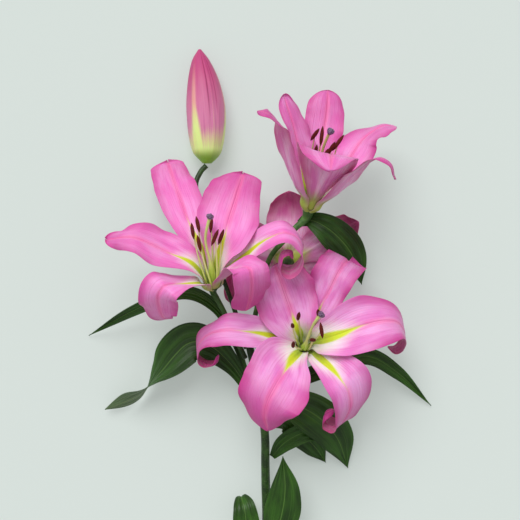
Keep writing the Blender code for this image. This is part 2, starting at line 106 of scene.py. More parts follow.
# Half-widths of each tepal from foot to tip. Where its halves differ, the clockwise one comes first.
WIDTHS = {
    "left_petal_1": [(5, 8, 15, 24, 26, 22, 18, 18), (5, 8, 15, 24, 29, 28, 25, 15)],
    "left_petal_2": [(5, 8, 13, 18, 20, 17, 11, 6)],
    "left_petal_3": [(5, 8, 12, 16, 18, 17, 17, 14)],
    "left_sepal_1": [(6, 8, 12, 16, 18, 17, 15, 13), (6, 8, 12, 15, 18, 19, 18, 17)],
    "left_sepal_2": [(6, 8, 11, 12, 13, 13, 13, 13, 12, 10, 8)],
    "left_sepal_3": [(6, 8, 11, 14, 16, 17, 17, 14, 9)],
    "right_petal_1": [(5, 8, 16, 23, 26, 26, 22, 14), (5, 8, 17, 26, 28, 26, 22, 14)],
    "right_petal_2": [(5, 8, 17, 23, 25, 23, 18, 12, 9, 7)],
    "right_petal_3": [(5, 12, 27, 31, 29, 27, 20, 8), (5, 8, 14, 24, 30, 29, 19, 7)],
    "right_sepal_1": [(6, 8, 12, 14, 15, 15, 13, 11, 9, 7)],
    "right_sepal_2": [(6, 8, 12, 15, 15, 17, 18, 16), (6, 8, 12, 16, 20, 21, 21, 18)],
    "right_sepal_3": [(6, 8, 11, 14, 17, 17, 15, 12, 11, 9), (6, 8, 13, 20, 24, 22, 17, 14, 12, 10)],
    "top_petal_1": [(5, 8, 15, 20, 20, 16, 9), (5, 8, 12, 12, 11, 9, 7)],
    "top_petal_2": [(5, 8, 13, 18, 21, 19, 10), (5, 8, 14, 19, 21, 17, 9)],
    "top_petal_3": [(5, 8, 16, 25, 29, 24, 14), (5, 8, 14, 21, 24, 20, 12)],
    "top_sepal_1": [(6, 8, 12, 15, 16, 16, 13), (6, 8, 12, 15, 18, 18, 14)],
    "top_sepal_2": [(6, 8, 11, 12, 11, 8, 7)],
    "top_sepal_3": [(6, 8, 11, 12, 10, 8, 6)],
}

# Turn of the blade about its spine, in degrees from foot to tip.
ROLL = {
    "top_sepal_2": (0, 0, 8, 15, 10), "top_sepal_3": (0, 0, -8, -15, 0),
    "left_sepal_3": (0, 15, 20, 0, -40, -50, -50), "leaf_2": (0, 0, 0, 15, 60, 130, 175),
}

# The flower underneath faces the ground: bearing and length of each tepal, and how far it turns away from
# the flower's axis from foot to tip, in degrees.
UNDER = {
    "under_sepal_1": (90, 78), "under_petal_1": (30, 64), "under_sepal_2": (330, 80),
    "under_petal_2": (270, 72), "under_sepal_3": (210, 72), "under_petal_3": (150, 78),
}
UNDER_OPENING = {"petal": (45, 38, 55, 90, 125, 165), "sepal": (50, 42, 58, 92, 130, 170)}
UNDER_FOOT = {"petal": (6.3, 0.5), "sepal": (7.9, -1.0)}  # radius and height about the receptacle
UNDER_ROOT = (3.2, 2.4)  # how much further in and down its hidden root is
UNDER_STEPS = 15
UNDER_WIDTHS = {"petal": (5, 9, 17, 22, 21, 17, 9), "sepal": (6, 9, 14, 16, 15, 12, 7)}

# name: spine, half-widths from base to tip.
LEAVES = {
    "leaf_1": ([
        (34, 32, 34), (44, 35, 37), (60, 27, 41), (76, 12, 31), (86, -5, 20), (91, -22, 9)],
        (3, 9, 14, 15, 13, 9, 4)),
    "leaf_2": ([
        (-7, -120, 23), (-24, -94, 26), (-44, -76, 27), (-64, -74, 27), (-88, -99, 23), (-107, -119, 17),
        (-139, -134, 7)], (4, 7, 13, 18, 18, 11, 13, 8)),
    "leaf_3": ([
        (-12.5, -98, 31), (-22, -72, 33), (-38, -42, 37), (-67, -28, 48), (-110, -44, 33),
        (-154, -68, 2.5)], (2.5, 3.5, 5, 6, 6, 5, 4, 2.5)),
    "leaf_4": ([
        (9, -134, 25), (26, -126, 36), (51, -138, 32), (69, -159, 19), (79, -187, 3)],
        (4, 12, 18, 19, 16, 11, 5)),
    "leaf_5": ([
        (9, -146, 20), (22, -141, 26), (35, -152, 22), (50, -168, 12), (59, -182, 3)],
        (3, 9, 12, 13, 11, 8, 4)),
    "leaf_6": ([
        (11, -175, 16), (22, -161, 27), (40, -152, 27), (58, -153, 16), (72, -157, 10), (84, -161, 8)],
        (3, 7, 9, 9, 8, 6, 3)),
    "leaf_7": ([
        (7, -268, 14), (18, -230, 26), (22, -202, 34), (20, -172, 36)], (4, 10, 14, 16, 14, 10, 4)),
    "leaf_8": ([
        (-1, -262, 11), (-8, -248, 17), (-12, -233, 22), (-14, -219, 22), (-17, -211, 13),
        (-16, -213, 4)], (3, 8, 11, 12, 10, 7, 3)),
    "leaf_9": ([
        (4.5, -120, 24), (44, -102, 22), (90, -85, 24), (122, -100, 16), (154, -131, 2)],
        (3, 6, 8, 8, 7, 5, 2.5)),
}

STEM = ([(9, -334, 4.4), (7, -269, 8), (5, -194, 14), (4, -151, 20), (-2, -110, 28), (-9, -76, 36)],
        (4.2, 4.1, 4.0, 3.8, 3.6, 3.4))
PEDICELS = {
    "left": [(-13, -86, 35), (-22, -66, 41), (-31, -46, 43), (-38, -33, 43)],
    "right": [(2.6, -106, 28), (15, -99, 22), (29, -86, 18.5)],
    "top": [(-9.3, -74.4, 36.3), (-3, -43, 38), (7, -2, 36), (20, 16, 41), (31, 28, 44)],
    "under": [(-2, -84, 37), (4, -60, 43), (13, -35, 45), (21, -15, 46)],
}
PEDICEL_ENDS = (12, 1.9)  # where its last two points lie under the top of the receptacle
PEDICEL_RADII = (2.3, 2.2, 2.2, 2.2, 2.2, 2.2, 2.3, 2.5, 3.1, 5.4)
BUD_PEDICEL = [(-12, -78, 30.5), (-22, -45, 32), (-42, 10, 34), (-53, 45, 27), (-57, 66, 20), (-53, 78, 17.5),
               (-47.6, 84, 17.3)]
BUD_PEDICEL_RADII = (2.2, 2.0, 2.0, 2.4)
BUD = ([(-47, 86, 17.2), (-47, 98, 17.2), (-48, 125, 17.2), (-50, 151, 16), (-53, 175, 13), (-54, 188, 12)],
       (4.0, 11.5, 14.3, 15.8, 16.6, 16.9, 16.8, 16.3, 15.3, 13.9, 12.0, 9.6, 6.4, 1.2))
BUD_RIB_BEARING = -20.0
SEAM = 0.78  # where the outer tepals of the bud end, from 0 on a rib to 1 halfway to the next

# Points up the style from the receptacle to the stigma.
PISTILS = {
    "left": [(-41, -14, 65), (-42, -3, 74), (-46, 16, 83), (-44, 29, 90), (-41, 39, 93)],
    "right": [(39, -75, 50), (41, -66, 67), (46, -53, 82), (53, -44, 89)],
    "top": [(46, 56, 54), (50, 74, 68), (53, 93, 82), (57, 104, 92), (60, 109, 99)],
    "under": [(26, -1, 28), (27, 0, 21), (28, 1, 14), (30, 2, 7)],
}
PISTIL_RADII = (2.6, 3.1, 3.1, 2.4, 1.2, 1.1, 1.1, 1.1, 1.2, 1.3, 1.5)

# Bearing of each filament's foot and the two ends of its anther.
STAMENS = {
    "left": [
        (200, (-58, 31, 79), (-56, 18, 81)), (140, (-54, 37, 82), (-51, 23, 84)),
        (260, (-53, 21, 80), (-50, 7, 79)), (80, (-41, 37, 75), (-42, 23, 78)),
        (320, (-35, 26, 84), (-41, 12, 84)), (20, (-31, 25, 79), (-35, 14, 77))],
    "right": [
        (120, (33, -44, 87), (32, -51, 76)), (180, (27, -54, 85), (28, -57, 74)),
        (0, (51, -53, 82), (53, -66, 79)), (60, (49, -42, 80), (50, -48, 69)),
        (300, (42, -67, 88), (47, -68, 76)), (240, (28, -69, 87), (28, -74, 76))],
    "top": [
        (150, (49, 109, 97), (43, 101, 90)), (90, (53, 113, 84), (51, 96, 84)),
        (300, (63, 99, 90), (57, 89, 83)), (20, (71, 106, 80), (61, 92, 84)),
        (210, (48, 97, 86), (46, 86, 78)), (260, (57, 93, 98), (52, 82, 90))],
    "under": [
        (20, (38, -9, 16), (37, -3, 9)), (80, (24, -15, 16), (30, -15, 9)),
        (140, (14, -7, 16), (16, -13, 9)), (200, (12, 5, 16), (13, -1, 9)),
        (260, (26, 12, 16), (20, 12, 9)), (320, (36, 4, 16), (34, 9, 9))],
}

# Foot of a tepal as radius and height about the receptacle: it starts under the ovary and leaves outwards.
FOOT = {
    "petal": ((3.6, -1.5), (7.0, 3.0), (9.2, 12.5)),
    "sepal": ((4.6, -3.2), (9.0, 2.0), (11.0, 11.0)),
}

# Half-angle of the arc across a blade, in radians from foot to tip; below 0 it bends backwards.
CUP = {
    "petal": (1.1, 1.0, 0.75, 0.40, 0.15, 0.0, -0.15, -0.30),
    "sepal": (0.9, 0.75, 0.50, 0.20, 0.05, 0.0, -0.20, -0.40),
}
LEAF_CUP = (0.5, 0.35, 0.3, 0.25)
TEPAL_THICKNESS = 0.9
LEAF_THICKNESS = 0.6
TEPAL_KEEL = (0.9, 1.3)  # depth and half-width
LEAF_KEEL = (0.8, 1.2)
LEAF_PLEATS = (0.28, 5.0)  # depth and count
TEPAL_FRILLS = (1.1, 2.6)  # height and count of the waves along a margin
UNDER_FRILLS = (1.0, 3.0)

# A filament starts on this circle, this far under the top of the receptacle, and leaves through a throat
# of this depth while it moves this far outwards; then it bows by this share of its length.
FILAMENT_CIRCLE, FILAMENT_FOOT, THROAT_DEPTH, THROAT_FLARE, FILAMENT_BOW = 4.3, 1.2, 13, 1.7, 0.02
FILAMENT_RADII = (1.0, 0.85, 0.75, 0.65, 0.5)
ANTHER_HALF_LENGTH = 7.2
ANTHER_RADII = 1.65 * np.array((0.12, 0.62, 0.92, 1.0, 1.0, 0.92, 0.62, 0.12))

TEPAL_LEAN = 0.5  # how far a tepal's width turns to the axis it bends about
LEAN_LENGTH = 25.0  # at a bend of this radius the axis counts as much as the untwisted direction
LEAN_RISE = (-0.6, 3.0)  # the lean's share from foot to tip, cut off to 0..1

# How far each margin lifts (+, towards the inner face) or drops, in even steps from foot to tip:
# the usual ones, and those of tepals with a fold of their own.
MARGINS = {
    "petal": ((0, 0, 0.5, 1.2, -1.6, 1.8, -1.5, 1.0), (0, 0, -0.3, 1.4, -1.2, 1.6, -2.0, 0.6)),
    "sepal": ((0, 0, 0.2, 0.6, -0.8, 0.9, -0.7, 0.3), (0, 0, -0.2, 0.7, -0.7, 0.6, -0.8, 0.2)),
    "left_petal_1": ((0, 0, 1.0, 2.0, -1.5, 2.5, -3.0, 3.0), (0, 0, -0.5, 1.5, -1.5, 2.5, -2.5, 4.0)),
    "left_sepal_1": ((0, 0, 0.3, 1.2, -1.0, 1.6, -1.8, 2.4), (0, 0, -0.5, 1.4, -1.4, 1.6, -1.4, 2.2)),
    "right_sepal_2": ((0, 0, 0.4, 0.8, -1.0, 1.5, 3.0, 8.0), (0, 0, -0.4, 1.0, -1.2, 1.6, -2.0, 1.0)),
    "top_petal_3": ((0, 0, 1.0, 4.0, 8.0, 6.0, 0.0, -2.0), (0, 0, 0.5, 1.0, 1.0, 0.0, 1.0, 0.0)),
}
LEAF_MARGINS = ((0, 0.6, -0.8, 0.7, 0), (0, -0.5, 0.8, -0.6, 0))

# How a blade ends: the share of its length that rounds off, and how full the round is (less is fuller).
TIPS = {
    "petal": (0.16, 0.55), "sepal": (0.16, 0.55), "leaf": (0.30, 0.85),
    "left_petal_1": (0.05, 0.45), "left_petal_2": (0.07, 0.45), "left_sepal_1": (0.04, 0.40),
    "left_petal_3": (0.08, 0.45), "left_sepal_3": (0.10, 0.50), "right_sepal_2": (0.05, 0.40),
    "right_petal_3": (0.08, 0.50), "top_sepal_1": (0.10, 0.50), "top_petal_1": (0.12, 0.50),
    "top_petal_2": (0.08, 0.50), "top_sepal_2": (0.12, 0.50), "top_sepal_3": (0.12, 0.50),
}

LILAC = {"left": 0.15, "right": 0.75, "top": 0.35, "under": 0.0}  # how lilac each flower's pink is

# How far the dark magenta takes over at the tip: partly the tepal's own deeper colour, partly painted shade.
TIP_BLUSH_AND_SHADE = {
    "left_petal_1": 0.60, "left_petal_2": 0.40, "left_petal_3": 0.80, "left_sepal_1": 0.35,
    "left_sepal_2": 0.75, "left_sepal_3": 0.40, "right_petal_1": 0.10, "right_petal_2": 0.60,
    "right_petal_3": 0.85, "right_sepal_1": 1.00, "right_sepal_2": 0.25, "right_sepal_3": 0.95,
    "top_petal_1": 0.10, "top_petal_2": 0.45, "top_petal_3": 0.20, "top_sepal_1": 0.35,
    "top_sepal_2": 0.70, "top_sepal_3": 0.80,
}
STALK_GREEN_AND_LIGHT = {"left": 0.15, "right": 0.3, "top": 0.9, "under": 0.2}  # how pale a green each stalk is: partly its own colour, partly painted light on the top flower's stalk, which lies in shade


# ---- curves and frames

def unit(v):
    return v / np.linalg.norm(v, axis=-1, keepdims=True)


def along(values, u):
    """Smooth values at u in 0..1 through evenly spaced ones (Catmull-Rom)."""
    p = np.asarray(values, float)
    if p.ndim == 1:
        return along(p[:, None], u)[:, 0]
    last = len(p) - 2
    p = np.vstack([2 * p[0] - p[1], p, 2 * p[-1] - p[-2]])
    t = u * (last + 1)
    i = np.minimum(t.astype(int), last)
    f = (t - i)[:, None]
    a, b, c, d = p[i], p[i + 1], p[i + 2], p[i + 3]
    return 0.5 * (2 * b + (c - a) * f + (2 * a - 5 * b + 4 * c - d) * f**2 + (3 * b - a - 3 * c + d) * f**3)


def even_path(points, count):
    """Evenly spaced points along the smooth curve through the given ones."""
    fine = along(points, np.linspace(0, 1, PATH_SAMPLES))
    reach = np.concatenate([[0], np.cumsum(np.linalg.norm(np.diff(fine, axis=0), axis=1))])
    steps = np.linspace(0, reach[-1], count)
    return np.stack([np.interp(steps, reach, fine[:, k]) for k in range(3)], axis=-1)


def carried(first, tangents):
    """The direction `first` carried along a curve without twisting about it."""
    out = []
    for tangent in tangents:
        first = unit(first - (first @ tangent) * tangent)
        out.append(first)
    return np.array(out)


def turned(v, axis, degrees):
    """Directions v turned about their axes."""
    angle = np.radians(degrees)[:, None]
    along_axis = np.sum(axis * v, axis=-1, keepdims=True) * axis
    return v * np.cos(angle) + np.cross(axis, v) * np.sin(angle) + along_axis * (1 - np.cos(angle))


def leaned(across, path, tangent, share):
    """Turn the width direction partly towards the axis that the path bends about, and smooth it.

    The share grows from nothing at the foot.
    """
    pull = np.cross(tangent, np.gradient(tangent, axis=0))
    pull *= np.sign(np.sum(pull * across, axis=1, keepdims=True))
    step = np.linalg.norm(path[1:] - path[:-1], axis=1).mean()
    share = share * np.clip(np.linspace(*LEAN_RISE, len(path)), 0, 1)[:, None]
    mixed = across * (1 - share) + pull * share * LEAN_LENGTH / step
    for _ in range(int(3 * (len(path) / CAD_ROWS) ** 2)):
        mixed[1:-1] = (mixed[:-2] + mixed[1:-1] + mixed[2:]) / 3
    mixed = unit(mixed)
    return unit(mixed - np.sum(mixed * tangent, axis=1, keepdims=True) * tangent)


def smooth_step(low, high, x):
    t = np.clip((x - low) / (high - low), 0, 1)
    return t * t * (3 - 2 * t)


def place(points):
    """Layout millimetres to metres in the CAD model's frame."""
    return (np.asarray(points, float) - ORIGIN) * 0.001


def flower_frame(flower):
    """Receptacle, axis, and two directions across it (bearing 0 points to +X)."""
    axis = unit(np.array(FLOWERS[flower]["axis"], float))
    east = unit(np.array([1.0, 0, 0]) - axis * axis[0])
    return np.array(FLOWERS[flower]["base"], float), axis, east, np.cross(axis, east)


def outward(flower, bearing):
    """Direction away from the flower's axis at a bearing about it."""
    _, _, east, north = flower_frame(flower)
    angle = np.radians(bearing)
    return np.cos(angle) * east + np.sin(angle) * north


# ---- meshes

def add_attribute(mesh, key, value):
    attribute = mesh.attributes.new(key, "FLOAT", "POINT")
    attribute.data.foreach_set("value", np.asarray(value, np.float32).ravel())


def add_mesh(name, points, faces, values, material):
    """A smooth mesh that carries one float attribute per entry of `values`, for its material to read."""
    mesh = bpy.data.meshes.new(name)
    mesh.from_pydata([tuple(p) for p in place(points)], [], faces)
    for key, value in values.items():
        add_attribute(mesh, key, value)
    mesh.materials.append(material)
    mesh.shade_smooth()
    obj = bpy.data.objects.new(name, mesh)
    bpy.context.scene.collection.objects.link(obj)
    return obj


def finish_piece(obj, node):
    """obj stands for one CAD node of the plant."""
    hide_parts(node)
    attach(obj, "root")


def grid_faces(rows, columns, closed=False):
    """Quads of a rows x columns grid of points; a closed grid joins its last column to its first."""
    faces = []
    for i in range(rows - 1):
        for j in range(columns if closed else columns - 1):
            a = i * columns + j
            b = i * columns + (j + 1) % columns
            faces.append((a, b, b + columns, a + columns))
    return faces


def sheet_faces(rows, columns):
    """Faces of a thin solid: upper grid, lower grid and the rim between them."""
    size = rows * columns
    faces = grid_faces(rows, columns)
    faces += [(d + size, c + size, b + size, a + size) for a, b, c, d in faces]
    rim = list(range(columns))
    rim += [i * columns + columns - 1 for i in range(1, rows)]
    rim += [(rows - 1) * columns + j for j in range(columns - 2, -1, -1)]
    rim += [i * columns for i in range(rows - 2, 0, -1)]
    for a, b in zip(rim, rim[1:] + rim[:1]):
        faces.append((b, a, size + a, size + b))
    return faces


def tube_faces(rows, sides):
    """Walls and two fans; the fans' centres are the last two points."""
    first, last = rows * sides, rows * sides + 1
    top = (rows - 1) * sides
    faces = grid_faces(rows, sides, closed=True)
    faces += [(first, (j + 1) % sides, j) for j in range(sides)]
    faces += [(last, top + j, top + (j + 1) % sides) for j in range(sides)]
    return faces


def half_widths(widths, tip, u, v):
    """Half-width at every point of a blade, rounded off at its tip."""
    share, roundness = tip
    rounded = (1 - np.clip((u - 1 + share) / share, 0, 1) ** 2) ** roundness
    sides = [np.maximum(along(values, u) * rounded, NARROWEST)[:, None] for values in widths]
    return np.where(v < 0, *sides)


def curled(half, cup, u, v):
    """Place across and height of a blade whose cross-section is an arc; cup is the arc's half-angle."""
    curl = along(cup, u)[:, None]
    curl = np.where(np.abs(curl) < FLATTEST, FLATTEST, curl)
    return half * np.sin(curl * v) / curl, half * (1 - np.cos(curl * v)) / curl


def margin_lift(margins, u, v):
    """Height that each margin adds to its own half of the blade."""
    left, right = (along(margin, u)[:, None] for margin in margins)
    return np.where(v < 0, left, right) * np.abs(v) ** 2.4


def margin_wave(count, tone, u, v):
    """A long and a short wave along the margins, both shifted by the blade's tone."""
    long_wave = np.sin(2 * np.pi * count * u + 2.1 * tone)[:, None] * np.where(v < 0, 1.0, 0.8)
    short_wave = np.sin(2 * np.pi * 2.3 * count * u + 5 * tone)[:, None]
    return long_wave + 0.6 * short_wave


def relief(half, keel, pleats, u, v):
    """A keel that drops along the middle and pleats beside it, both fading at foot and tip."""
    fade = (smooth_step(0.02, 0.2, u) * (1 - smooth_step(0.9, 1.0, u)))[:, None]
    drop = keel[0] * fade * np.exp(-((v * half / keel[1]) ** 2))
    folds = pleats[0] * fade * np.cos(np.pi * pleats[1] * v) * (1 - np.abs(v) ** 4)
    return folds - drop


def thickened(middle, thickness, u, v):
    """Points of the upper and lower skin of a blade that thins towards its margins and tip."""
    normal = unit(np.cross(np.gradient(middle, axis=0), np.gradient(middle, axis=1)))
    depth = thickness * (1 - 0.6 * np.abs(v) ** 3) * (1 - 0.3 * u)[:, None]
    offset = depth[..., None] * normal / 2
    return np.concatenate([(middle + offset).reshape(-1, 3), (middle - offset).reshape(-1, 3)])


def sheet_values(u, v, look):
    """Place along and across a blade, which face it is, and the blade's own look, for each point."""
    run, cross = np.meshgrid(u, v, indexing="ij")
    values = {"run": np.tile(run.ravel(), 2), "cross": np.tile(cross.ravel(), 2)}
    values["inner"] = np.repeat([1.0, 0.0], run.size)
    for key, value in look.items():
        values[key] = np.full(run.size * 2, value)
    return values


def add_sheet(name, spine, side, widths, cup, tip, thickness, margins, material, look, keel,
              pleats=(0.0, 1.0), frills=(0.0, 1.0), roll=(0, 0), lean=0.0, rows=110, columns=45):
    """A thin blade with a keel along its middle, pleats, and margins that wave.

    side: its width direction at the foot. widths: half-widths of its two halves. cup: the curl across it.
    tip: (share of the length, roundness). margins: lift of the two margins. keel: (depth, half-width).
    pleats: (depth, count). frills: (height, count of waves). look: numbers that its material reads.
    """
    path = even_path(spine, rows)
    tangent = unit(np.gradient(path, axis=0))
    u = np.linspace(0, 1, rows)
    v = np.linspace(-1, 1, columns)
    across = leaned(carried(side, tangent), path, tangent, lean)
    across = turned(across, tangent, along(roll, u))
    up = np.cross(tangent, across)
    half = half_widths(widths, tip, u, v)
    x, z = curled(half, cup, u, v)
    wave = margin_wave(frills[1], look["tone"], u, v)
    growth = smooth_step(0.3, 0.6, u)
    height = frills[0] * growth * (1 + 0.5 * np.sin(9 * u + 3 * look["tone"]))
    x = x * (1 + 0.02 * wave * np.abs(v) * growth[:, None])
    z = z + margin_lift(margins, u, v) + height[:, None] * wave * np.abs(v) ** 3.5
    z = z + relief(half, keel, pleats, u, v)
    middle = path[:, None] + across[:, None] * x[..., None] + up[:, None] * z[..., None]
    points = thickened(middle, thickness, u, v)
    return add_mesh(name, points, sheet_faces(rows, columns), sheet_values(u, v, look), material)


def add_tube(name, spine, radii, material, rows=60, sides=24, shape=None, tone=0.0):
    """A closed round bar along a smooth path; shape(u, angle) scales its radius."""
    path = even_path(spine, rows)
    tangent = unit(np.gradient(path, axis=0))
    side = carried(np.cross(tangent[0], TUBE_SIDE), tangent)
    other = np.cross(tangent, side)
    u = np.linspace(0, 1, rows)
    angle = np.linspace(0, 2 * np.pi, sides, endpoint=False)
    radius = np.repeat(along(radii, u)[:, None], sides, axis=1)
    if shape is not None:
        radius = radius * shape(u[:, None], angle[None, :])
    ring = np.cos(angle)[None, :, None] * side[:, None] + np.sin(angle)[None, :, None] * other[:, None]
    wall = path[:, None] + radius[..., None] * ring
    points = np.concatenate([wall.reshape(-1, 3), path[:1], path[-1:]])
    values = {
        "run": np.concatenate([np.repeat(u, sides), [0.0, 1.0]]),
        "turn": np.concatenate([np.tile(angle, rows) / (2 * np.pi), [0.0, 0.0]]),
        "rim": np.concatenate([np.ones(rows * sides), [0.0, 0.0]]),
        "tone": np.full(len(points), tone),
    }
    return add_mesh(name, points, tube_faces(rows, sides), values, material)


# ---- materials

class Shader:
    """Short calls that add and link the nodes of one material around its Principled BSDF."""

    def __init__(self, name, **sockets):
        self.material = bpy.data.materials.new(name)
        self.material.use_nodes = True
        self.tree = self.material.node_tree
        self.surface = self.tree.nodes["Principled BSDF"]
        for key, value in sockets.items():
            self.surface.inputs[key.replace("_", " ")].default_value = value

    def add(self, kind, inputs, **settings):
        node = self.tree.nodes.new(kind)
        for key, value in settings.items():
            setattr(node, key, value)
        for key, value in inputs.items():
            if isinstance(value, bpy.types.NodeSocket):
                self.tree.links.new(value, node.inputs[key])
            else:
                node.inputs[key].default_value = value
        return node

    def attribute(self, name):
        return self.add("ShaderNodeAttribute", {}, attribute_name=name).outputs["Fac"]

    def math(self, operation, a, b=0.0):
        return self.add("ShaderNodeMath", {0: a, 1: b}, operation=operation).outputs[0]

    def step(self, value, low, high):
        """0 below low and 1 above high, smoothly; low may be the larger one."""
        inputs = {"Value": value, "From Min": low, "From Max": high}
        return self.add("ShaderNodeMapRange", inputs, interpolation_type="SMOOTHSTEP").outputs[0]

    def product(self, first, *others):
        for value in others:
            first = self.math("MULTIPLY", first, value)
        return first

    def total(self, first, *others):
        for value in others:
            first = self.math("ADD", first, value)
        return first

    def centred(self, value, centre, size):
        """How far the value is past the centre, times size."""
        return self.math("MULTIPLY", self.math("SUBTRACT", value, centre), size)

    def mix(self, share, a, b):
        inputs = {0: share, 6: self.colour(a), 7: self.colour(b)}
        return self.add("ShaderNodeMix", inputs, data_type="RGBA").outputs[2]

    def colour(self, value):
        return value if isinstance(value, bpy.types.NodeSocket) else (*value, 1.0)

    def noise(self, vector, scale, detail):
        return self.add("ShaderNodeTexNoise", {"Vector": vector, "Scale": scale, "Detail": detail}).outputs[0]

    def stretched_noise(self, cross, run, seed, counts, detail):
        """Noise in a blade's own coordinates: counts are its cells across and along the blade."""
        x = self.math("MULTIPLY", cross, counts[0])
        y = self.math("MULTIPLY", run, counts[1])
        point = self.add("ShaderNodeCombineXYZ", {0: x, 1: y, 2: seed}).outputs[0]
        return self.noise(point, 1.0, detail)

    def place_in_mm(self):
        position = self.add("ShaderNodeNewGeometry", {}).outputs["Position"]
        return self.add("ShaderNodeVectorMath", {0: position, 3: 1000.0}, operation="SCALE").outputs[0]

    def finish(self, colour, height=None, depth=0.0, strength=0.0):
        """Link the colour and, where given, a bump of this depth in metres."""
        self.tree.links.new(colour, self.surface.inputs["Base Color"])
        if height is not None:
            inputs = {"Height": height, "Strength": strength, "Distance": depth}
            bump = self.add("ShaderNodeBump", inputs).outputs["Normal"]
            self.tree.links.new(bump, self.surface.inputs["Normal"])
        return self.material


def linear(red, green, blue):
    """A linear colour from 0..255 display values."""
    c = np.array([red, green, blue]) / 255
    return tuple(float(x) for x in np.where(c <= 0.04045, c / 12.92, ((c + 0.055) / 1.055) ** 2.4))


WHITE_THROAT = linear(250, 240, 238)
PALE_PINK = linear(244, 152, 216)
PINK = linear(238, 118, 196)
PALE_LILAC = linear(240, 172, 226)
LILAC_PINK = linear(224, 128, 200)
MAGENTA = linear(190, 48, 134)
SALMON = linear(250, 120, 166)
YELLOW_GREEN = linear(212, 226, 48)
THROAT_GREEN_AND_LIGHT = linear(178, 200, 70)
MAUVE = linear(222, 124, 190)
MAUVE_PALE = linear(240, 190, 222)
CRIMSON = linear(184, 50, 116)
BASE_GREEN = linear(176, 192, 80)


def tepal_material():
    """Petal tissue: white throat with a green nectary stripe, pink blade, darker tip (partly painted shade)
    and mauve back.
    """
    shader = Shader(
        "lily tepal", Roughness=0.46, Specular_IOR_Level=0.35, Subsurface_Weight=0.25,
        Subsurface_Radius=(1.0, 0.45, 0.6), Subsurface_Scale=0.0012, Sheen_Weight=0.12, Sheen_Roughness=0.4,
    )
    run, cross = shader.attribute("run"), shader.attribute("cross")
    inner, tone = shader.attribute("inner"), shader.attribute("tone")
    away = shader.math("ABSOLUTE", cross)
    streaks = shader.stretched_noise(cross, run, tone, (26.0, 3.0), 3.0)
    patches = shader.stretched_noise(cross, run, tone, (2.2, 4.0), 2.0)
    threads = shader.stretched_noise(cross, run, tone, (75.0, 7.0), 2.0)
    blade = blade_colour(shader, run, away, streaks, patches, threads)
    inside = inner_colour(shader, run, away, streaks, blade)
    outside = outer_colour(shader, run, away, streaks, patches)
    colour = shader.mix(inner, outside, inside)
    return shader.finish(colour, tepal_veins(shader, cross, away, streaks), depth=0.0004, strength=0.45)


def blade_colour(shader, run, away, streaks, patches, threads):
    """Patchy pink or lilac, magenta at tip, rim (both partly painted shade) and veins, a salmon midrib
    between two lines.
    """
    lilac = shader.attribute("lilac")
    patchy = shader.step(patches, 0.35, 0.65)
    pink = shader.mix(patchy, PINK, PALE_PINK)
    mauve = shader.mix(patchy, LILAC_PINK, PALE_LILAC)
    blade = shader.mix(lilac, pink, mauve)
    # The dark tip is partly the tepal's own colour and partly painted shade, by each tepal's share.
    far = shader.total(run, shader.centred(patches, 0.5, 0.25))
    tip = shader.product(shader.step(far, 0.45, 0.92), shader.attribute("tip_blush_and_shade"))
    # Darker magenta margins: partly the tepal's own colour, partly painted shade; more on lilac flowers.
    rim_colour_and_shade_share = shader.total(shader.product(lilac, 0.40), 0.52)
    rim = shader.product(shader.step(away, 0.50, 1.0), shader.step(run, 0.25, 0.60), rim_colour_and_shade_share)
    streak = shader.product(shader.step(streaks, 0.48, 0.75), 0.28)
    vein = shader.product(shader.step(threads, 0.52, 0.66), shader.step(run, 0.35, 0.90), 0.40)
    for share in (tip, rim, streak, vein):
        blade = shader.mix(share, blade, MAGENTA)
    midrib = shader.product(shader.step(away, 0.20, 0.02), shader.step(run, 0.30, 0.55), 0.42)
    blade = shader.mix(midrib, blade, SALMON)
    from_line = shader.math("ABSOLUTE", shader.math("SUBTRACT", away, 0.035))
    line = shader.product(shader.step(from_line, 0.022, 0.004), shader.step(run, 0.40, 0.60), 0.35)
    return shader.mix(line, blade, MAGENTA)


def inner_colour(shader, run, away, streaks, blade):
    """The face that looks into the flower: the blade's colour past a white throat with a green stripe."""
    reach = shader.total(run, shader.centred(away, 0.25, 0.22), shader.centred(streaks, 0.5, 0.14))
    throat = shader.mix(shader.step(reach, 0.22, 0.44), WHITE_THROAT, blade)
    edge = shader.product(shader.step(run, 0.50, 0.10), 0.34)
    edge = shader.total(edge, shader.centred(streaks, 0.5, 0.08))
    inside = shader.math("SUBTRACT", away, edge)
    stripe = shader.product(shader.step(inside, 0.05, -0.06), shader.step(run, 0.52, 0.40))
    # Green at the foot of the throat: its own yellow-green, lightened as painted light against the shade deep
    # in the throat.
    green = shader.mix(shader.step(run, 0.12, 0.30), THROAT_GREEN_AND_LIGHT, YELLOW_GREEN)
    return shader.mix(stripe, throat, green)


def outer_colour(shader, run, away, streaks, patches):
    """The tepal's back: mauve, crimson towards rim and tip (partly painted shade), with a green foot and a
    pale rib.
    """
    blade = shader.mix(shader.step(patches, 0.3, 0.7), MAUVE, MAUVE_PALE)
    streak = shader.product(shader.step(streaks, 0.42, 0.75), 0.35)
    # Crimson margins on the back: partly its own colour, partly painted shade.
    rim = shader.product(shader.step(away, 0.45, 0.95), 0.45)
    # Crimson at the tip of the back: partly its own colour, partly painted shade where tips curl back.
    tip_blush_and_shade_share = shader.total(shader.product(shader.attribute("tip_blush_and_shade"), 0.6), 0.2)
    tip = shader.product(shader.step(run, 0.45, 0.90), tip_blush_and_shade_share)
    for share in (streak, rim, tip):
        blade = shader.mix(share, blade, CRIMSON)
    rib = shader.product(shader.step(away, 0.16, 0.03), shader.step(run, 0.75, 0.25), 0.7)
    blade = shader.mix(rib, blade, MAUVE_PALE)
    reach = shader.total(run, shader.product(away, 0.12), shader.centred(streaks, 0.5, 0.12))
    return shader.mix(shader.step(reach, 0.10, 0.34), BASE_GREEN, blade)


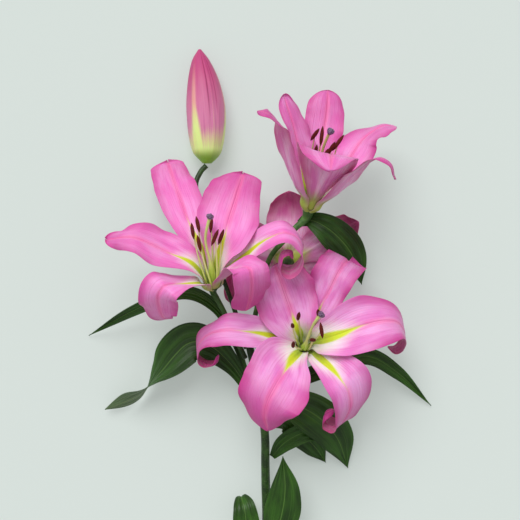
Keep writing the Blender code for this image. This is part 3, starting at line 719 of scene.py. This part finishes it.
def tepal_veins(shader, cross, away, streaks):
    """Height of fine parallel veins that fade towards the margins."""
    lines = shader.math("SINE", shader.math("MULTIPLY", cross, 70.0))
    return shader.total(shader.product(lines, 0.25, shader.step(away, 1.0, 0.5)), streaks)


def leaf_material():
    """A glossy blade with parallel veins, a pale midrib and a duller back."""
    shader = Shader("lily leaf", Roughness=0.42, Specular_IOR_Level=0.3, Subsurface_Weight=0.08,
                    Subsurface_Radius=(0.3, 1.0, 0.2), Subsurface_Scale=0.0006)
    run, cross = shader.attribute("run"), shader.attribute("cross")
    inner, tone = shader.attribute("inner"), shader.attribute("tone")
    away = shader.math("ABSOLUTE", cross)
    streaks = shader.stretched_noise(cross, run, tone, (18.0, 1.6), 3.0)
    patches = shader.stretched_noise(cross, run, tone, (1.5, 3.0), 2.0)
    upper = shader.mix(shader.step(patches, 0.35, 0.7), linear(30, 58, 14), linear(50, 92, 22))
    upper = shader.mix(shader.product(shader.step(streaks, 0.5, 0.75), 0.4), upper, linear(78, 118, 44))
    upper = shader.mix(shader.product(shader.step(away, 0.05, 0.01), 0.55), upper, linear(96, 134, 58))
    lower = shader.mix(shader.step(streaks, 0.35, 0.7), linear(76, 98, 66), linear(112, 132, 92))
    lower = shader.mix(shader.product(shader.step(away, 0.07, 0.02), 0.6), lower, linear(140, 158, 105))
    colour = shader.mix(inner, lower, upper)
    lines = shader.math("SINE", shader.math("MULTIPLY", cross, 46.0))
    veins = shader.total(streaks, shader.product(lines, 0.3))
    return shader.finish(colour, veins, depth=0.0003, strength=0.5)


def stem_material():
    """Green stem, darker in patches, paler by its tone (partly painted light on shaded stalks), with a pale
    cut end.
    """
    shader = Shader("lily stem", Roughness=0.45, Specular_IOR_Level=0.4, Subsurface_Weight=0.1,
                    Subsurface_Radius=(0.3, 1.0, 0.2), Subsurface_Scale=0.0008)
    turn, rim = shader.attribute("turn"), shader.attribute("rim")
    position = shader.place_in_mm()
    mottle = shader.step(shader.noise(position, 0.12, 3.0), 0.35, 0.65)
    grain = shader.noise(position, 0.9, 2.0)
    colour = shader.mix(mottle, linear(24, 48, 12), linear(46, 80, 22))
    colour = shader.mix(shader.product(shader.step(grain, 0.55, 0.75), 0.4), colour, linear(110, 142, 80))
    # A paler green by the stalk's tone: partly its own colour, partly painted light on a stalk that lies in
    # shade.
    pale_green_and_light = shader.mix(mottle, linear(58, 98, 40), linear(92, 136, 62))
    colour = shader.mix(shader.attribute("tone"), colour, pale_green_and_light)
    colour = shader.mix(shader.step(rim, 0.95, 0.6), colour, linear(196, 208, 150))
    ribs = shader.math("SINE", shader.math("MULTIPLY", turn, 88.0))
    height = shader.total(shader.product(ribs, 0.2), grain)
    return shader.finish(colour, height, depth=0.0002, strength=0.4)


def bud_material():
    """Six closed tepals seen from outside: green foot, yellow-green streaks up each rib, pink above, painted
    shade along the seams.
    """
    shader = Shader("lily bud", Roughness=0.45, Specular_IOR_Level=0.35, Subsurface_Weight=0.25,
                    Subsurface_Radius=(1.0, 0.5, 0.6), Subsurface_Scale=0.0015)
    run, sector = shader.attribute("run"), shader.attribute("sector")
    away = shader.math("ABSOLUTE", sector)
    streaks = shader.stretched_noise(sector, run, 1.7, (14.0, 4.0), 3.0)
    pink = shader.mix(shader.step(run, 0.30, 0.85), linear(214, 130, 168), linear(188, 66, 120))
    pink = shader.mix(shader.product(shader.step(streaks, 0.45, 0.75), 0.4), pink, linear(176, 62, 128))
    rib = shader.product(shader.step(away, 0.20, 0.03), shader.step(run, 0.95, 0.45), 0.8)
    pink = shader.mix(rib, pink, linear(232, 176, 150))
    beside = shader.product(shader.step(away, 0.02, 0.40), 0.22)
    reach = shader.total(run, beside, shader.centred(streaks, 0.5, 0.16))
    pale = shader.mix(shader.step(reach, 0.30, 0.55), linear(222, 240, 150), pink)
    colour = shader.mix(shader.step(run, 0.03, 0.14), linear(140, 186, 60), pale)
    # A dark line where the outer tepals meet: painted shade in the groove of each seam.
    from_seam = shader.math("ABSOLUTE", shader.math("SUBTRACT", away, SEAM))
    seam_shade = shader.product(shader.step(from_seam, 0.05, 0.0), shader.step(run, 0.30, 0.60), 0.7)
    colour = shader.mix(seam_shade, colour, linear(140, 30, 84))
    return shader.finish(colour, streaks, depth=0.0004, strength=0.4)


def pistil_material():
    """Green ovary, paler style and a dark, damp stigma."""
    shader = Shader("lily pistil", Roughness=0.38, Specular_IOR_Level=0.45, Subsurface_Weight=0.15,
                    Subsurface_Radius=(0.8, 1.0, 0.3), Subsurface_Scale=0.0008)
    run = shader.attribute("run")
    grain = shader.noise(shader.place_in_mm(), 1.4, 3.0)
    style = shader.mix(shader.step(run, 0.28, 0.42), linear(176, 204, 78), linear(204, 214, 128))
    style = shader.mix(shader.product(shader.step(grain, 0.5, 0.7), 0.3), style, linear(160, 180, 84))
    stigma = shader.mix(shader.step(grain, 0.4, 0.6), linear(70, 44, 74), linear(132, 108, 138))
    colour = shader.mix(shader.step(run, 0.925, 0.94), style, stigma)
    return shader.finish(colour, grain, depth=0.0003, strength=0.35)


def filament_material():
    """Yellow-green at the foot, paler towards the anther."""
    shader = Shader("lily filament", Roughness=0.42, Specular_IOR_Level=0.4, Subsurface_Weight=0.15,
                    Subsurface_Radius=(0.8, 1.0, 0.3), Subsurface_Scale=0.0006)
    run = shader.attribute("run")
    colour = shader.mix(shader.step(run, 0.1, 0.8), linear(188, 204, 96), linear(214, 214, 150))
    return shader.finish(colour)


def anther_material():
    """Dark maroon pollen sacs with a mealy, matt grain."""
    shader = Shader("lily anther", Roughness=0.85, Specular_IOR_Level=0.2)
    grain = shader.noise(shader.place_in_mm(), 2.6, 3.0)
    colour = shader.mix(shader.step(grain, 0.35, 0.7), linear(66, 14, 16), linear(122, 44, 30))
    return shader.finish(colour, grain, depth=0.0003, strength=0.7)


def floor_material():
    """A pale floor that glows a little, so that the shadows on it stay light."""
    shader = Shader("pale floor", Roughness=0.9, Specular_IOR_Level=0.1, Emission_Strength=0.40,
                    Base_Color=(0.40, 0.44, 0.42, 1.0), Emission_Color=(*linear(212, 221, 216), 1.0))
    return shader.material


# ---- the plant

def whorl_of(name):
    return name.split("_")[1]


def tepal_spine(flower, whorl, bearing, beyond):
    """Spine of a tepal from its foot on the receptacle through the given points."""
    base, axis, _, _ = flower_frame(flower)
    away = outward(flower, bearing)
    return [base + radius * away + height * axis for radius, height in FOOT[whorl]] + beyond


def add_tepal(name, bearing, spine, material, tone):
    flower, whorl, _ = name.split("_")
    points = tepal_spine(flower, whorl, bearing, [np.array(p, float) for p in spine])
    widths = (WIDTHS[name][0], WIDTHS[name][-1])
    look = {"tone": tone, "lilac": LILAC[flower], "tip_blush_and_shade": TIP_BLUSH_AND_SHADE[name]}
    return add_sheet(
        name + "_skin", points, outward(flower, bearing + 90), widths, CUP[whorl],
        TIPS.get(name, TIPS[whorl]), TEPAL_THICKNESS, MARGINS.get(name, MARGINS[whorl]), material,
        look, TEPAL_KEEL, frills=TEPAL_FRILLS, roll=ROLL.get(name, (0, 0)), lean=TEPAL_LEAN,
        rows=150, columns=61)


def under_spine(name, bearing, length):
    """Spine of a tepal of the flower that faces the ground, opening by even angles from its axis."""
    whorl = whorl_of(name)
    base, axis, _, _ = flower_frame("under")
    away = outward("under", bearing)
    angle = np.radians(along(UNDER_OPENING[whorl], np.linspace(0, 1, UNDER_STEPS + 1)))[:, None]
    steps = (np.cos(angle) * axis + np.sin(angle) * away) * length / UNDER_STEPS
    radius, height = UNDER_FOOT[whorl]
    start = base + radius * away + height * axis
    root = start - UNDER_ROOT[0] * away - UNDER_ROOT[1] * axis
    return [root] + list(np.vstack([start, start + np.cumsum(steps[:-1], axis=0)])[::3])


def add_under_tepal(name, bearing, length, material, tone):
    whorl = whorl_of(name)
    # The flower underneath gets the full dark tip: partly its own colour, partly painted shade, as it lies
    # under the others.
    look = {"tone": tone, "lilac": LILAC["under"], "tip_blush_and_shade": 1.0}
    return add_sheet(
        name + "_skin", under_spine(name, bearing, length), outward("under", bearing + 90),
        (UNDER_WIDTHS[whorl], UNDER_WIDTHS[whorl]), CUP[whorl], TIPS[whorl], TEPAL_THICKNESS,
        MARGINS[whorl], material, look, TEPAL_KEEL, frills=UNDER_FRILLS)


def add_leaf(name, spine, widths, material, tone):
    side = np.cross((0, 0, 1.0), np.subtract(spine[1], spine[0]))
    return add_sheet(
        name + "_skin", spine, side, (widths, widths), LEAF_CUP, TIPS["leaf"], LEAF_THICKNESS,
        LEAF_MARGINS, material, {"tone": tone}, LEAF_KEEL, pleats=LEAF_PLEATS,
        roll=ROLL.get(name, (0, 0)))


def stem_shape(u, angle):
    """Faint flats around the stem and swellings where leaves sat."""
    return 1 + 0.02 * np.cos(5 * angle) + 0.03 * np.sin(40 * u) * np.cos(angle + 9 * u)


def pistil_shape(u, angle):
    """Six ribs on the ovary, and a domed stigma of three lobes at the other end."""
    ribs = 0.08 * np.cos(6 * angle) * (1 - smooth_step(0.2, 0.32, u))
    cap = 1.2 * smooth_step(0.92, 0.95, u) * np.sqrt(np.clip(1 - ((u - 0.955) / 0.047) ** 2, 0.0, 1))
    top = 1 - 0.85 * smooth_step(0.975, 1.0, u)
    return (1 + ribs + cap * (1 + 0.22 * np.cos(3 * angle))) * top


def bud_sector(angle):
    """-1..1 across each of the three outer tepals, 0 on its rib."""
    turn = np.degrees(angle) - BUD_RIB_BEARING
    return ((turn + 60) % 120 - 60) / 60


def bud_shape(u, angle):
    """Ribs on the outer tepals, their raised edges along the seams, and ribs of the inner ones."""
    sector = np.abs(bud_sector(angle))
    rib = 0.035 * np.exp(-((sector / 0.10) ** 2))
    edge = 0.055 * (1 - smooth_step(SEAM - 0.02, SEAM + 0.06, sector)) * smooth_step(0.15, 0.5, u)
    inner_rib = 0.04 * np.exp(-(((sector - 1) / 0.12) ** 2))
    return 0.97 + rib + edge + inner_rib


def add_bud(material):
    rows, sides = 140, 144
    bud = add_tube("bud_skin", *BUD, material, rows=rows, sides=sides, shape=bud_shape)
    angle = np.linspace(0, 2 * np.pi, sides, endpoint=False)
    add_attribute(bud.data, "sector", np.concatenate([np.tile(bud_sector(angle), rows), [0.0, 0.0]]))
    return bud


def add_pedicel(flower, material):
    """A flower's own stalk, widening into the receptacle under the tepals."""
    base, axis, _, _ = flower_frame(flower)
    spine = PEDICELS[flower] + [base - depth * axis for depth in PEDICEL_ENDS]
    return add_tube(flower + "_pedicel_skin", spine, PEDICEL_RADII, material, rows=70,
                    tone=STALK_GREEN_AND_LIGHT[flower])


def add_pistil(flower, material):
    base, axis, _, _ = flower_frame(flower)
    spine = [base - 0.8 * axis] + PISTILS[flower]
    return add_tube(flower + "_pistil_skin", spine, PISTIL_RADII, material, rows=110, sides=36,
                    shape=pistil_shape)


def filament_path(flower, bearing, ends):
    """From the ring around the ovary, out of the throat and to the middle of the anther."""
    base, axis, _, _ = flower_frame(flower)
    away = outward(flower, bearing)
    foot = base + FILAMENT_CIRCLE * away - FILAMENT_FOOT * axis
    throat = foot + THROAT_DEPTH * axis + THROAT_FLARE * away
    goal = (np.array(ends[0], float) + np.array(ends[1], float)) / 2
    middle = (throat + goal) / 2 + FILAMENT_BOW * np.linalg.norm(goal - throat) * away
    return [foot, throat, middle, goal]


def anther_shape(u, angle):
    """Two pollen sacs with a groove between them."""
    from_groove = np.angle(np.exp(1j * (angle - 1.2))) * np.ones_like(u)
    return 1 - 0.22 * np.exp(-((from_groove / 0.35) ** 2))


def anther_spine(ends):
    """A slightly bowed line through the two ends, no shorter than an anther is."""
    first, second = (np.array(end, float) for end in ends)
    centre = (first + second) / 2
    reach = unit(second - first) * max(ANTHER_HALF_LENGTH, np.linalg.norm(second - first) / 2)
    spots = np.cos(np.radians((178, 155, 125, 100, 80, 55, 25, 2)))
    bow = np.array([0.0, 0.0, 0.35])
    return [centre + reach * s + bow * (1 - s * s) for s in spots]


def add_stamen(name, flower, bearing, ends, materials):
    """A filament and its anther, joined into one object."""
    filament = add_tube(name, filament_path(flower, bearing, ends), FILAMENT_RADII, materials["filament"],
                        rows=40, sides=12)
    anther = add_tube(name + "_anther", anther_spine(ends), ANTHER_RADII, materials["anther"],
                      rows=30, sides=20, shape=anther_shape)
    return join(name, [filament, anther])


def join(name, objects):
    """One object from several meshes that need not touch."""
    with bpy.context.temp_override(active_object=objects[0], object=objects[0],
                                   selected_objects=objects, selected_editable_objects=objects):
        bpy.ops.object.join()
    objects[0].name = name
    return objects[0]


def add_stalks(materials):
    """Stem, bud and its stalk, and each flower's stalk and pistil."""
    stem = add_tube("stem_skin", *STEM, materials["stem"], rows=160, sides=40, shape=stem_shape)
    finish_piece(stem, "stem")
    finish_piece(add_bud(materials["bud"]), "bud")
    bud_stalk = add_tube("bud_pedicel_skin", BUD_PEDICEL, BUD_PEDICEL_RADII, materials["stem"], rows=80)
    finish_piece(bud_stalk, "bud_pedicel")
    for flower in FLOWERS:
        finish_piece(add_pedicel(flower, materials["stem"]), flower + "_pedicel")
        finish_piece(add_pistil(flower, materials["pistil"]), flower + "_pistil")


def add_blades(materials):
    """All tepals and leaves; each gets a tone of its own, so that no two look the same."""
    for k, (name, values) in enumerate(TEPALS.items()):
        finish_piece(add_tepal(name, *values, materials["tepal"], tone=1.7 * k), name)
    for k, (name, values) in enumerate(UNDER.items()):
        tepal = add_under_tepal(name, *values, materials["tepal"], tone=50 + 1.7 * k)
        finish_piece(tepal, name)
    for k, (name, values) in enumerate(LEAVES.items()):
        finish_piece(add_leaf(name, *values, materials["leaf"], tone=2.3 * k), name)


def add_stamens(materials, nodes):
    """A flower's stamens are one piece where the CAD model has them as one node."""
    for flower, stamens in STAMENS.items():
        made = []
        for k, (bearing, *ends) in enumerate(stamens, start=1):
            made.append(add_stamen(f"{flower}_stamen_{k}_skin", flower, bearing, ends, materials))
        whole = flower + "_stamens"
        if whole in nodes:
            finish_piece(join(whole + "_skin", made), whole)
        else:
            for k, stamen in enumerate(made, start=1):
                finish_piece(stamen, f"{flower}_stamen_{k}")


def add_plant(nodes):
    materials = {"tepal": tepal_material(), "leaf": leaf_material(), "stem": stem_material(),
                 "bud": bud_material(), "pistil": pistil_material(), "filament": filament_material(),
                 "anther": anther_material()}
    add_stalks(materials)
    add_blades(materials)
    add_stamens(materials, nodes)


# ---- stage

def add_floor():
    corners = [(x * FLOOR_HALF, y * FLOOR_HALF, 0) for x, y in ((-1, -1), (1, -1), (1, 1), (-1, 1))]
    floor = add_mesh("floor", corners, [(0, 1, 2, 3)], {}, floor_material())


def add_lights():
    """Soft daylight from all round, and one broad lamp high on the far left."""
    world = bpy.data.worlds.new("studio")
    bpy.context.scene.world = world
    world.use_nodes = True
    background = world.node_tree.nodes["Background"]
    background.inputs["Color"].default_value = (1.0, 1.0, 1.0, 1.0)
    background.inputs["Strength"].default_value = SKY_STRENGTH
    lamp = bpy.data.lights.new("key", "SUN")
    lamp.energy = LAMP_STRENGTH
    lamp.angle = np.radians(LAMP_SPREAD)
    key = bpy.data.objects.new("key", lamp)
    key.rotation_euler = np.radians(LAMP_TURN)
    bpy.context.scene.collection.objects.link(key)


def add_camera():
    """Straight down from above the middle of the layout, with the flowers away from the viewer."""
    lens = bpy.data.cameras.new("camera")
    lens.lens = CAMERA_LENS
    lens.sensor_width = CAMERA_SENSOR
    lens.clip_end = CAMERA_REACH
    camera = bpy.data.objects.new("camera", lens)
    camera.location = place((0.0, 0.0, CAMERA_HEIGHT))
    bpy.context.scene.collection.objects.link(camera)
    bpy.context.scene.camera = camera


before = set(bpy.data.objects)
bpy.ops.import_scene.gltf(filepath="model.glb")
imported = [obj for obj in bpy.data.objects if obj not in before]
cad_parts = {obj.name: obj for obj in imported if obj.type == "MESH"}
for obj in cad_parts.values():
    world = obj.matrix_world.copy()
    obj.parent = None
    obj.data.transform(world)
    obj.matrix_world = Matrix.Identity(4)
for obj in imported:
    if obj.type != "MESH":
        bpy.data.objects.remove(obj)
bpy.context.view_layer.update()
bpy.context.scene.view_settings.view_transform = "Standard"
add_plant(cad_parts)
add_floor()
add_lights()
add_camera()
